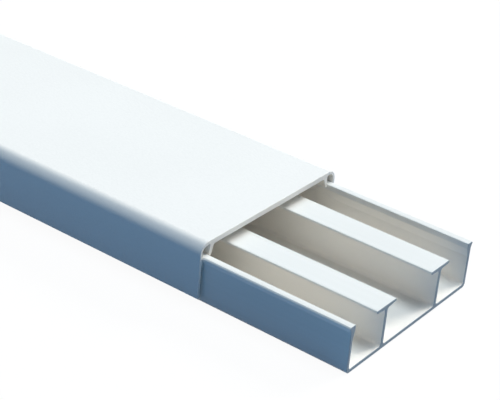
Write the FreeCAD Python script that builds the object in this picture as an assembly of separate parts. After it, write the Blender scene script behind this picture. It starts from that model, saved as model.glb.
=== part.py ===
import FreeCAD
import Part
import math
import os

# Three-compartment cord cover raceway of rigid PVC: a base channel that is fixed to a wall
# by its flat back, and a cover that clips and slides over it. Both are extrusions with one
# section along X. The origin is the middle of the base's back, +Z points off the wall, and
# the cover is slid back along -X, so that the base's +X end lies open. Millimetres.

# Lengths along X
base_length = 400.0
cover_length = 400.0
cover_setback = 46.0

# Cover, outside
cover_width = 60.0
cover_height = 18.0
cover_corner_round = 3.2
plate_thickness = 1.6
skirt_thickness = 0.8
skirt_wall_gap = 1.5
skirt_edge_round = 0.65
skirt_lip_round = 0.1

# Slot inside each long edge of the cover, which takes the head of a base wall
slot_roof_thickness = 1.1
slot_round = 1.8
leg_root_thickness = 1.6
leg_tip_thickness = 0.85
leg_depth = 3.0
leg_slant = 1.1
leg_root_round = 0.6

# Ridge inside each skirt, which catches under the barb of a base wall
ridge_reach = 0.45
ridge_lead_in = 1.2

# Clearances between the base and the cover
barb_clearance = 0.15
leg_clearance = 0.25
ridge_clearance = 0.2
head_headroom = 2.9
flange_headroom = 3.2

# Base: floor and walls
floor_thickness = 1.1
wall_thickness = 1.0
base_corner_round = 1.2
floor_corner_round = 0.6

# Head along the top of each base wall: a barb outside and a lip inside
barb_reach = 0.6
barb_lead_in = 0.3
barb_tip_drop = 0.4
barb_depth = 1.7
lip_reach = 0.7
lip_drop = 1.6
lip_depth = 4.2
lip_root_round = 0.6

# Two partitions with flanges on top
middle_width = 24.4
stem_thickness = 1.1
stem_foot_round = 0.8
flange_width = 8.8
flange_thickness = 1.2
flange_tip_thickness = 0.8
flange_root_round = 0.6

# Rounds that the extrusion die leaves on small edges
edge_round = 0.25
fine_round = 0.15

# Places across the section, from the middle outwards
skirt_outer_y = cover_width / 2
skirt_inner_y = skirt_outer_y - skirt_thickness
barb_tip_y = skirt_inner_y - barb_clearance
barb_top_y = barb_tip_y - barb_lead_in
wall_outer_y = barb_tip_y - barb_reach
wall_inner_y = wall_outer_y - wall_thickness
lip_y = wall_inner_y - lip_reach
leg_tip_outer_y = lip_y - leg_clearance
leg_tip_inner_y = leg_tip_outer_y - leg_tip_thickness
leg_root_inner_y = leg_tip_inner_y - leg_slant
leg_root_outer_y = leg_root_inner_y + leg_root_thickness
stem_inner_y = middle_width / 2
stem_outer_y = stem_inner_y + stem_thickness
flange_inner_y = stem_inner_y + stem_thickness / 2 - flange_width / 2
flange_outer_y = flange_inner_y + flange_width

# Heights off the wall that the raceway is fixed to
plate_under_z = cover_height - plate_thickness
slot_roof_z = cover_height - slot_roof_thickness
leg_bottom_z = plate_under_z - leg_depth
head_top_z = slot_roof_z - head_headroom
barb_tip_z = head_top_z - barb_tip_drop
barb_root_z = head_top_z - barb_depth
lip_full_z = head_top_z - lip_drop
lip_root_z = head_top_z - lip_depth
flange_top_z = plate_under_z - flange_headroom
flange_tip_under_z = flange_top_z - flange_tip_thickness
flange_root_z = flange_top_z - flange_thickness

# The ridge's upper flank runs parallel to the barb's underside, at the ridge clearance
barb_slope = (barb_tip_z - barb_root_z) / barb_reach
ridge_drop = ridge_clearance * math.hypot(1, barb_slope)
ridge_tip_y = skirt_inner_y - ridge_reach


def ridge_flank_z(y):
    return barb_root_z + (y - wall_outer_y) * barb_slope - ridge_drop


def rounded_wire(x, corners):
    """A closed wire in the plane at x, through corners given as (y, z, radius)."""
    edges = []
    points = [FreeCAD.Vector(x, y, z) for y, z, radius in corners]
    ends = []
    for i, (y, z, radius) in enumerate(corners):
        corner = points[i]
        back = (points[i - 1] - corner).normalize()
        ahead = (points[(i + 1) % len(points)] - corner).normalize()
        half_angle = back.getAngle(ahead) / 2
        reach = radius / math.tan(half_angle)
        start = corner + back * reach
        end = corner + ahead * reach
        inward = (back + ahead).normalize()
        middle = corner + inward * (radius / math.sin(half_angle) - radius)
        edges.append(Part.Arc(start, middle, end).toShape())
        ends.append((start, end))
    for i, (start, end) in enumerate(ends):
        next_start = ends[(i + 1) % len(ends)][0]
        edges.append(Part.LineSegment(end, next_start).toShape())
    return Part.Wire(Part.__sortEdges__(edges))


def extrusion(half_section, x_start, length):
    """Mirrors half a section across the middle plane and extrudes the whole along X."""
    other_half = [(-y, z, radius) for y, z, radius in reversed(half_section)]
    section = Part.Face(rounded_wire(x_start, half_section + other_half))
    return section.extrude(FreeCAD.Vector(length, 0, 0))


def base_channel():
    half_section = [
        (wall_outer_y, 0, base_corner_round),
        (wall_outer_y, barb_root_z, edge_round),
        (barb_tip_y, barb_tip_z, fine_round),
        (barb_top_y, head_top_z, edge_round),
        (lip_y, head_top_z, edge_round),
        (lip_y, lip_full_z, edge_round),
        (wall_inner_y, lip_root_z, lip_root_round),
        (wall_inner_y, floor_thickness, floor_corner_round),
        (stem_outer_y, floor_thickness, stem_foot_round),
        (stem_outer_y, flange_root_z, flange_root_round),
        (flange_outer_y, flange_tip_under_z, edge_round),
        (flange_outer_y, flange_top_z, edge_round),
        (flange_inner_y, flange_top_z, edge_round),
        (flange_inner_y, flange_tip_under_z, edge_round),
        (stem_inner_y, flange_root_z, flange_root_round),
        (stem_inner_y, floor_thickness, stem_foot_round),
    ]
    return extrusion(half_section, -base_length / 2, base_length)


def clip_cover():
    half_section = [
        (skirt_outer_y, cover_height, cover_corner_round),
        (skirt_outer_y, skirt_wall_gap, skirt_edge_round),
        (skirt_inner_y, skirt_wall_gap, skirt_lip_round),
        (skirt_inner_y, ridge_flank_z(ridge_tip_y) - ridge_lead_in, edge_round),
        (ridge_tip_y, ridge_flank_z(ridge_tip_y), fine_round),
        (skirt_inner_y, ridge_flank_z(skirt_inner_y), fine_round),
        (skirt_inner_y, slot_roof_z, slot_round),
        (leg_root_outer_y, slot_roof_z, edge_round),
        (leg_tip_outer_y, leg_bottom_z, edge_round),
        (leg_tip_inner_y, leg_bottom_z, edge_round),
        (leg_root_inner_y, plate_under_z, leg_root_round),
    ]
    x_start = base_length / 2 - cover_setback - cover_length
    return extrusion(half_section, x_start, cover_length)


def main():
    os.makedirs("parts", exist_ok=True)
    pieces = {"base_channel": base_channel(), "clip_cover": clip_cover()}
    for name, shape in pieces.items():
        shape.exportStep("parts/" + name + ".step")
        print(name, "valid" if shape.isValid() else "not valid", round(shape.Volume), "mm3")


main()
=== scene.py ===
import math

import bmesh
import bpy
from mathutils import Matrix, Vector


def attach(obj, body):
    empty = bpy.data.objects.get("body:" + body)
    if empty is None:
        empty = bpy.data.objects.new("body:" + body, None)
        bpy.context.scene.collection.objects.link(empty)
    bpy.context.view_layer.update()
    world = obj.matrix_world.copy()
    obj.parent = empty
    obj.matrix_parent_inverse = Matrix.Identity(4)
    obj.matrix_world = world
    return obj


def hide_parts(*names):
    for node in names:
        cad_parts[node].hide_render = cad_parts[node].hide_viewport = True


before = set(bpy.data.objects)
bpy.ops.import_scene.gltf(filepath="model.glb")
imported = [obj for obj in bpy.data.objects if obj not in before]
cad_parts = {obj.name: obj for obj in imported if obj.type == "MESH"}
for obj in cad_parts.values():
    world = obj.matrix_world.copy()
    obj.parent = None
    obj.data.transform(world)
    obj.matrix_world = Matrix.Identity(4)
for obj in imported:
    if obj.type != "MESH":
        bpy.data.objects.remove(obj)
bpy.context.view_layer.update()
scene = bpy.context.scene
scene.view_settings.view_transform = "Standard"


# The floor that the raceway lies on: a wide pale sheet, white in the picture but for the
# raceway's faint shadow. The light that it sends back is a dim slate blue, as from a room in
# shade, and gives the sides that the lamps don't reach their colour.
mm = 0.001
floor_side = 8.0
floor_drop = 0.05 * mm
paper_glow = 0.95


def to_linear(hex_colour):
    """The linear colour of an sRGB hex value such as "F2F4F5", by the sRGB standard."""
    levels = [int(hex_colour[i:i + 2], 16) / 255 for i in (0, 2, 4)]
    return [v / 12.92 if v <= 0.04045 else ((v + 0.055) / 1.055) ** 2.4 for v in levels] + [1.0]


def add_node(tree, kind, links=None, **settings):
    """Adds a node, sets its properties and sockets in the order given, and links
    {socket: output} into it."""
    node = tree.nodes.new(kind)
    for name, value in settings.items():
        if hasattr(node, name):
            setattr(node, name, value)
        else:
            node.inputs[name.replace("_", " ")].default_value = value
    for socket, output in (links or {}).items():
        tree.links.new(output, node.inputs[socket])
    return node


def seen_directly(tree):
    """1 for the camera and for what gloss and glass show, 0 for light that bounces on."""
    path = add_node(tree, "ShaderNodeLightPath")
    seen = path.outputs["Is Camera Ray"]
    for ray in ("Is Glossy Ray", "Is Transmission Ray"):
        either = add_node(tree, "ShaderNodeMath", {0: seen, 1: path.outputs[ray]},
                          operation="MAXIMUM")
        seen = either.outputs[0]
    return seen


bpy.ops.object.select_all(action="DESELECT")
bpy.ops.mesh.primitive_plane_add(size=floor_side, location=(0, 0, -floor_drop))
floor = bpy.context.object
floor.name = "studio_floor"

# Paper, matt: in view it glows, and what a thin diffuse share adds under the lamps makes it
# white. That share is missing where the raceway keeps the lamps off, which shows as a shadow.
paper = bpy.data.materials.new("matt_white_background_paper")
paper.use_nodes = True
tree = paper.node_tree
tree.nodes.clear()
glow = add_node(tree, "ShaderNodeEmission", Color=to_linear("FFFFFF"), Strength=paper_glow)
thin_share = add_node(tree, "ShaderNodeBsdfDiffuse", Color=to_linear("454545"))
in_view = add_node(tree, "ShaderNodeAddShader", {0: glow.outputs[0], 1: thin_share.outputs[0]})
bounce = add_node(tree, "ShaderNodeBsdfDiffuse", Color=to_linear("5689B2"))
paper_mix = add_node(tree, "ShaderNodeMixShader",
                     {0: seen_directly(tree), 1: bounce.outputs[0], 2: in_view.outputs[0]})
add_node(tree, "ShaderNodeOutputMaterial", {"Surface": paper_mix.outputs[0]})
floor.data.materials.append(paper)


# The light: a soft box at about 35 degrees beyond the far side and the open end, a wide cooler
# one nearly straight overhead, and a dim blue room round them. They reach every upper face and
# down into the compartments, and leave the near sides to the room and to bounced light.
lamp_distance = 6.0


def add_soft_box(name, lean, reach, level, colour):
    """A lamp that faces the middle of the floor, leant by (x, y) for each unit of height. Its
    reach is its half sizes over its distance, and its level the share of white at which it
    shows a white sheet that lies flat."""
    ray = Vector((lean[0], lean[1], 1)).normalized()
    lamp_data = bpy.data.lights.new(name, "AREA")
    lamp_data.shape = "RECTANGLE"
    lamp_data.size, lamp_data.size_y = (2 * lamp_distance * r for r in reach)
    lamp_data.energy = level * (math.pi * lamp_distance) ** 2 / ray.z
    lamp_data.color = to_linear(colour)[:3]
    lamp = bpy.data.objects.new(name, lamp_data)
    lamp.location = ray * lamp_distance
    lamp.rotation_euler = (-math.asin(ray.y), math.atan2(ray.x, ray.z), 0)
    scene.collection.objects.link(lamp)


add_soft_box("key_soft_box", lean=(0.45, 1.4), reach=(0.15, 0.15), level=0.415,
             colour="FFFAF3")
add_soft_box("overhead_soft_box", lean=(0.1, 0.1), reach=(0.3, 0.22), level=0.577,
             colour="EBF7FF")

world = bpy.data.worlds.new("dim_blue_room")
world.use_nodes = True
scene.world = world
tree = world.node_tree
tree.nodes.clear()
room = add_node(tree, "ShaderNodeMix", {"Factor": seen_directly(tree)}, data_type="RGBA",
                A=to_linear("314B63"), B=to_linear("FFFFFF"))
backdrop = add_node(tree, "ShaderNodeBackground", {"Color": room.outputs["Result"]}, Strength=1.0)
add_node(tree, "ShaderNodeOutputWorld", {"Surface": backdrop.outputs[0]})


# The camera, set by the straight edges of the cover and the channel: about 0.4 m off, above
# the near side and looking along to the open end, with a long lens and a slight roll.
lens_mm, sensor_mm = 109.87, 36.0
camera_place = (0.35491, -0.29523, 0.21613)
camera_turn_degrees = (60.992, -4.435, 37.654)

camera_data = bpy.data.cameras.new("camera")
camera_data.lens = lens_mm
camera_data.sensor_width = sensor_mm
camera = bpy.data.objects.new("camera", camera_data)
camera.location = camera_place
camera.rotation_euler = [math.radians(turn) for turn in camera_turn_degrees]
scene.collection.objects.link(camera)
scene.camera = camera


# The base channel: one extrusion of rigid PVC, fixed to a wall by its flat back. Its two
# walls end in heads that the cover clips onto, and two T-shaped partitions part the cords.
# It leaves a steel die as one section and is sawn square to length.

# Heights above the back and distances from the middle plane, in mm.
channel_length = 400.0
floor_thickness = 1.1
wall_outer, wall_inner = 28.45, 27.45
stem_outer, stem_inner = 13.3, 12.2
lip_root, lip_full, lip_inner = 9.8, 12.4, 26.75
barb_root, barb_tip, barb_outer = 12.3, 13.6, 29.05
head_top, head_top_outer = 14.0, 28.75
flange_root, flange_tip_under, flange_top = 12.0, 12.4, 13.2
flange_outer, flange_inner = 17.15, 8.35

# Rounds, each as its radius in mm and its steps, and the chamfer of the saw cuts.
back_round, stem_foot_round, corner_round = (1.2, 6), (0.8, 5), (0.6, 5)
edge_round, barb_tip_round = (0.25, 3), (0.15, 3)
saw_chamfer = 0.08

# The length in mm over which the tone drifts, the spans that one noise and two noises
# multiplied keep to, and how far the roughness swings either way.
tone_drift = 45.0
noise_span, shade_span = (0.25, 0.75), (0.12, 0.38)
roughness_swing = 0.06


def pvc(name, pale, deep, roughness, grain, depth, turn=0):
    """Rigid PVC with a pattern whose grain is this long in mm along X, Y and Z, turned about
    X by some degrees. Its colour goes between the two, and its relief is this deep in mm."""
    material = bpy.data.materials.new(name)
    material.use_nodes = True
    tree = material.node_tree
    tree.nodes.clear()
    place = add_node(tree, "ShaderNodeTexCoord").outputs["Object"]
    turned = add_node(tree, "ShaderNodeMapping", {"Vector": place},
                      Rotation=(math.radians(turn), 0, 0))
    spread = add_node(tree, "ShaderNodeMapping", {"Vector": turned.outputs[0]},
                      Scale=[1 / (length * mm) for length in grain])
    marks = add_node(tree, "ShaderNodeTexNoise", {"Vector": spread.outputs[0]},
                     Scale=1.0, Detail=3.0)
    drift = add_node(tree, "ShaderNodeTexNoise", {"Vector": place},
                     Scale=1 / (tone_drift * mm), Detail=1.0)
    shade = add_node(tree, "ShaderNodeMath",
                     {0: marks.outputs["Fac"], 1: drift.outputs["Fac"]}, operation="MULTIPLY")
    tint = add_node(tree, "ShaderNodeMapRange", {"Value": shade.outputs[0]},
                    From_Min=shade_span[0], From_Max=shade_span[1])
    colour = add_node(tree, "ShaderNodeMix", {"Factor": tint.outputs[0]}, data_type="RGBA",
                      A=to_linear(deep), B=to_linear(pale))
    gloss = add_node(tree, "ShaderNodeMapRange", {"Value": marks.outputs["Fac"]},
                     From_Min=noise_span[0], From_Max=noise_span[1],
                     To_Min=roughness - roughness_swing, To_Max=roughness + roughness_swing)
    relief = add_node(tree, "ShaderNodeBump", {"Height": marks.outputs["Fac"]},
                      Distance=depth * mm)
    skin = add_node(tree, "ShaderNodeBsdfPrincipled",
                    {"Base Color": colour.outputs["Result"], "Roughness": gloss.outputs[0],
                     "Normal": relief.outputs[0]}, IOR=1.53)
    add_node(tree, "ShaderNodeOutputMaterial", {"Surface": skin.outputs[0]})
    return material


# Rigid PVC, extruded: white and satin, with faint lines along its length from the die, which
# the eye sees as soft streaks. Real ones are 0.2 to 0.5 mm apart, too fine for the picture,
# so they are drawn 1.4 mm apart. Outside and inside are painted copies of one white. The
# outside is painted a slightly darker, cooler white, which is painted shade on the channel's
# lit faces. The inside is painted a paler, warmer white, which is painted light standing in
# for light bounced many times deep in a compartment.
die_lines = (90, 1.4, 1.4)
outside_white_painted_shade = pvc("rigid_pvc_outside_painted_shade", pale="F9F9F5", deep="F5F5F0", roughness=0.38,
                 grain=die_lines, depth=0.06)
inside_white_painted_bounce_light = pvc("rigid_pvc_inside_painted_bounce_light", pale="FEFAF2", deep="FDF8F0", roughness=0.42,
                 grain=die_lines, depth=0.06)

# Rigid PVC, sawn: the saw's teeth leave slanting scratches that take the gloss off. Its
# blue-grey is painted shade, as on cut ends that face only the dim room. Real scratches are
# 0.1 to 0.2 mm apart and are drawn 0.4 mm apart.
sawn_pvc_painted_shade = pvc("rigid_pvc_sawn_painted_shade", pale="B4BCC0", deep="9AA2A6", roughness=0.6,
               grain=(0.4, 0.4, 6), depth=0.05, turn=-20)

# How near in mm is as good as there, how much of a sawn face's normal points along the length,
# and the angles up to which faces are level with each other or are shaded as one.
near = 0.02
sawn_share = 0.5
level_angle, smooth_angle = math.radians(1), math.radians(32)


def add_slab(name, x_ends, width, z_low, z_high):
    """A slab as long as the extrusion, in edit mode and with nothing selected."""
    bpy.ops.object.select_all(action="DESELECT")
    bpy.ops.mesh.primitive_cube_add(
        size=mm,
        location=(sum(x_ends) / 2 * mm, 0, (z_low + z_high) / 2 * mm),
        scale=(x_ends[1] - x_ends[0], width, z_high - z_low))
    slab = bpy.context.object
    slab.name = name
    bpy.ops.object.transform_apply(location=True, rotation=True, scale=True)
    bpy.ops.object.mode_set(mode="EDIT")
    bpy.ops.mesh.select_all(action="DESELECT")
    return slab


def scribe(places):
    """Cuts the whole edited piece lengthwise at these distances either side of its middle."""
    for place in places:
        for side in (-1, 1):
            bpy.ops.mesh.select_all(action="SELECT")
            bpy.ops.mesh.bisect(plane_co=(0, side * place * mm, 0), plane_no=(0, 1, 0))


def select_parts(piece, kind, test):
    """Selects only the faces or the edges of the edited piece that pass the test."""
    bpy.ops.mesh.select_mode(type=kind)
    bpy.ops.mesh.select_all(action="DESELECT")
    shape = bmesh.from_edit_mesh(piece.data)
    for part in {"FACE": shape.faces, "EDGE": shape.edges}[kind]:
        if test(part):
            part.select = True
    shape.select_flush_mode()
    bmesh.update_edit_mesh(piece.data)


def select_lengthwise(piece, kind, test):
    """Selects only the faces or the edges that run the piece's length and whose middle passes
    the test, which gets its distance from the middle plane and its height in mm."""
    def passes(part):
        corners = [v.co / mm for v in part.verts]
        length = max(c.x for c in corners) - min(c.x for c in corners)
        middle = sum(corners, Vector()) / len(corners)
        return length > near and test(abs(middle.y), middle.z)
    select_parts(piece, kind, passes)


def at(place):
    """The test for being at this (distance, height)."""
    return lambda y, z: abs(y - place[0]) < near and abs(z - place[1]) < near


def draw_out(piece, levels):
    """Extrudes a strip from each level to the next. A level is the strip's two edges there,
    as (distance, height)."""
    for strip, target in zip(levels, levels[1:]):
        middle, goal = [[(a + b) / 2 for a, b in zip(*level)] for level in (strip, target)]
        spread, rise = goal[0] / middle[0], goal[1] - middle[1]
        select_lengthwise(piece, "FACE", at(middle))
        bpy.ops.mesh.extrude_region_move(TRANSFORM_OT_translate={"value": (0, 0, rise * mm)})
        bpy.ops.transform.resize(value=(1, spread, 1), center_override=(0, 0, 0))
        for (old_y, old_z), (new_y, new_z) in zip(strip, target):
            now_y, now_z = old_y * spread, old_z + rise
            select_lengthwise(piece, "EDGE", at((now_y, now_z)))
            bpy.ops.transform.resize(value=(1, new_y / now_y, 1), center_override=(0, 0, 0))
            bpy.ops.transform.translate(value=(0, 0, (new_z - now_z) * mm))


def join_level_faces():
    """Takes out of the edited piece the scribed lines that lie within a level face."""
    bpy.ops.mesh.select_all(action="SELECT")
    bpy.ops.mesh.dissolve_limited(angle_limit=level_angle)


def round_edges(piece, size, places):
    """Rounds the lengthwise edges at these (distance, height) places to a radius in steps."""
    radius, steps = size
    for place in places:
        select_lengthwise(piece, "EDGE", at(place))
        shape = bmesh.from_edit_mesh(piece.data)
        turn = next(edge.calc_face_angle() for edge in shape.edges if edge.select)
        bpy.ops.mesh.bevel(offset=radius * math.tan(turn / 2) * mm, offset_type="OFFSET",
                           segments=steps, profile=0.5, affect="EDGES", clamp_overlap=True)


def is_sawn(face):
    """Whether a face is part of a saw cut, or of the chamfer round it."""
    return abs(face.normal.x) > sawn_share


def dress_saw_cuts(piece):
    """Breaks the edges of both saw cuts by a fine chamfer."""
    select_parts(piece, "FACE", is_sawn)
    bpy.ops.mesh.bevel(offset=saw_chamfer * mm, offset_type="OFFSET", segments=1, affect="EDGES")


def finish_extrusion(piece, inside, outside, cut, is_outside):
    """Gives the inside, the outside and the saw cuts their finishes, and smooths the shading
    of the rounds. The test says from a face's distance and height whether it is outside."""
    bpy.ops.object.mode_set(mode="OBJECT")
    for finish in (inside, outside, cut):
        piece.data.materials.append(finish)
    on_inside, on_outside, on_cut = range(3)
    for face in piece.data.polygons:
        _, y, z = face.center / mm
        if is_sawn(face):
            face.material_index = on_cut
        elif is_outside(abs(y), z):
            face.material_index = on_outside
        else:
            face.material_index = on_inside
    bpy.ops.object.shade_smooth_by_angle(angle=smooth_angle)
    bpy.ops.object.modifier_add(type="WEIGHTED_NORMAL")
    piece.modifiers[-1].keep_sharp = True
    bpy.ops.object.modifier_apply(modifier=piece.modifiers[-1].name)


channel_ends = (-channel_length / 2, channel_length / 2)
channel = add_slab("channel_extrusion", channel_ends, 2 * wall_outer, 0, floor_thickness)
scribe((wall_inner, stem_outer, stem_inner))
draw_out(channel, [
    ((wall_inner, floor_thickness), (wall_outer, floor_thickness)),
    ((wall_inner, lip_root), (wall_outer, lip_root)),
    ((lip_inner, lip_full), (wall_outer, barb_root)),
    ((lip_inner, barb_tip), (barb_outer, barb_tip)),
    ((lip_inner, head_top), (head_top_outer, head_top))])
draw_out(channel, [
    ((stem_inner, z), (stem_outer, z)) for z in (floor_thickness, flange_root, flange_top)])
for stem_side, flange_edge in ((stem_outer, flange_outer), (stem_inner, flange_inner)):
    draw_out(channel, [
        ((stem_side, flange_root), (stem_side, flange_top)),
        ((flange_edge, flange_tip_under), (flange_edge, flange_top))])
join_level_faces()
round_edges(channel, back_round, [(wall_outer, 0)])
round_edges(channel, stem_foot_round, [
    (stem_outer, floor_thickness), (stem_inner, floor_thickness)])
round_edges(channel, corner_round, [
    (wall_inner, floor_thickness), (wall_inner, lip_root),
    (stem_outer, flange_root), (stem_inner, flange_root)])
round_edges(channel, edge_round, [
    (wall_outer, barb_root), (head_top_outer, head_top), (lip_inner, head_top),
    (lip_inner, lip_full), (flange_outer, flange_tip_under), (flange_outer, flange_top),
    (flange_inner, flange_tip_under), (flange_inner, flange_top)])
round_edges(channel, barb_tip_round, [(barb_outer, barb_tip)])
dress_saw_cuts(channel)

# The outside is the back, the walls' outer faces, the heads and the flanges' tips and tops,
# in the white with painted shade. The rest takes the white with painted bounced light, and
# the saw cuts take the grey of painted shade.
flange_edge_low = flange_tip_under + edge_round[0]
finish_extrusion(channel, inside_white_painted_bounce_light, outside_white_painted_shade, sawn_pvc_painted_shade,
                 lambda y, z: y > (wall_inner + wall_outer) / 2 or z < floor_thickness / 2
                 or z > flange_edge_low)
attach(channel, "base")
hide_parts("base_channel")


# The cover: the second extrusion of the same PVC, a flat plate with a skirt down each side.
# Inside each long edge a slot and a slanted leg take the head of the channel's wall, and a
# small ridge in the skirt catches under its barb. It is slid back from the open end.
cover_length, cover_setback = 400.0, 46.0
cover_half, cover_top = 30.0, 18.0
slot_roof, plate_under = 16.9, 16.4
skirt_inner, skirt_low = 29.2, 1.5
ridge_inner = 28.75
ridge_top, ridge_crest, ridge_foot = 13.448, 12.473, 11.273
leg_root_outer, leg_mid_outer, leg_root_inner = 26.15, 26.2, 24.55
leg_tip_outer, leg_tip_inner, leg_low = 26.5, 25.65, 13.4
plate_round, slot_round, skirt_edge_round = (3.2, 14), (1.8, 8), (0.65, 5)
leg_root_round, fine_round = (0.6, 5), (0.1, 2)

# Rigid PVC, extruded and grained: a roller presses a fine even grain into the outside, so it
# looks a little more matt than the inside. The real grain is about 0.2 mm and is drawn 0.7 mm.
grained_pvc = pvc("rigid_pvc_grained", pale="FEFCF7", deep="FAF8F3", roughness=0.46,
                  grain=(0.8, 0.7, 0.7), depth=0.03)

cover_front = channel_length / 2 - cover_setback
cover = add_slab("cover_extrusion", (cover_front - cover_length, cover_front), 2 * cover_half,
                 slot_roof, cover_top)
scribe((skirt_inner, leg_root_outer, leg_root_inner))

# Between the slots the plate is thicker, and the side of that step slants as the leg does.
select_lengthwise(cover, "FACE", lambda y, z: y < leg_root_outer and abs(z - slot_roof) < near)
bpy.ops.mesh.extrude_region_move(
    TRANSFORM_OT_translate={"value": (0, 0, (plate_under - slot_roof) * mm)})
select_lengthwise(cover, "EDGE", at((leg_root_outer, plate_under)))
bpy.ops.transform.resize(value=(1, leg_mid_outer / leg_root_outer, 1), center_override=(0, 0, 0))
draw_out(cover, [
    ((leg_root_inner, plate_under), (leg_mid_outer, plate_under)),
    ((leg_tip_inner, leg_low), (leg_tip_outer, leg_low))])
skirt_insides = ((skirt_inner, slot_roof), (skirt_inner, ridge_top), (ridge_inner, ridge_crest),
                 (skirt_inner, ridge_foot), (skirt_inner, skirt_low))
draw_out(cover, [((inner, z), (cover_half, z)) for inner, z in skirt_insides])
join_level_faces()
round_edges(cover, plate_round, [(cover_half, cover_top)])
round_edges(cover, slot_round, [(skirt_inner, slot_roof)])
round_edges(cover, skirt_edge_round, [(cover_half, skirt_low)])
round_edges(cover, leg_root_round, [(leg_root_inner, plate_under)])
round_edges(cover, edge_round, [
    (leg_root_outer, slot_roof), (leg_tip_outer, leg_low), (leg_tip_inner, leg_low),
    (skirt_inner, ridge_foot)])
round_edges(cover, fine_round, [
    (skirt_inner, skirt_low), (skirt_inner, ridge_top), (ridge_inner, ridge_crest)])
dress_saw_cuts(cover)

# The outside is the top, the skirts' outer faces and the round between them, where distance
# and height add up to more than anywhere on the slot's round. The saw cuts take the inside's
# white with its painted bounced light, not the painted shade of the channel's cut ends.
lip_edge = skirt_inner + fine_round[0]
slot_corner_margin = 0.5
round_divide = skirt_inner + slot_roof - slot_corner_margin
finish_extrusion(cover, inside_white_painted_bounce_light, grained_pvc, inside_white_painted_bounce_light,
                 lambda y, z: y > lip_edge or z > slot_roof + near or y + z > round_divide)
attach(cover, "cover")
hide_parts("clip_cover")
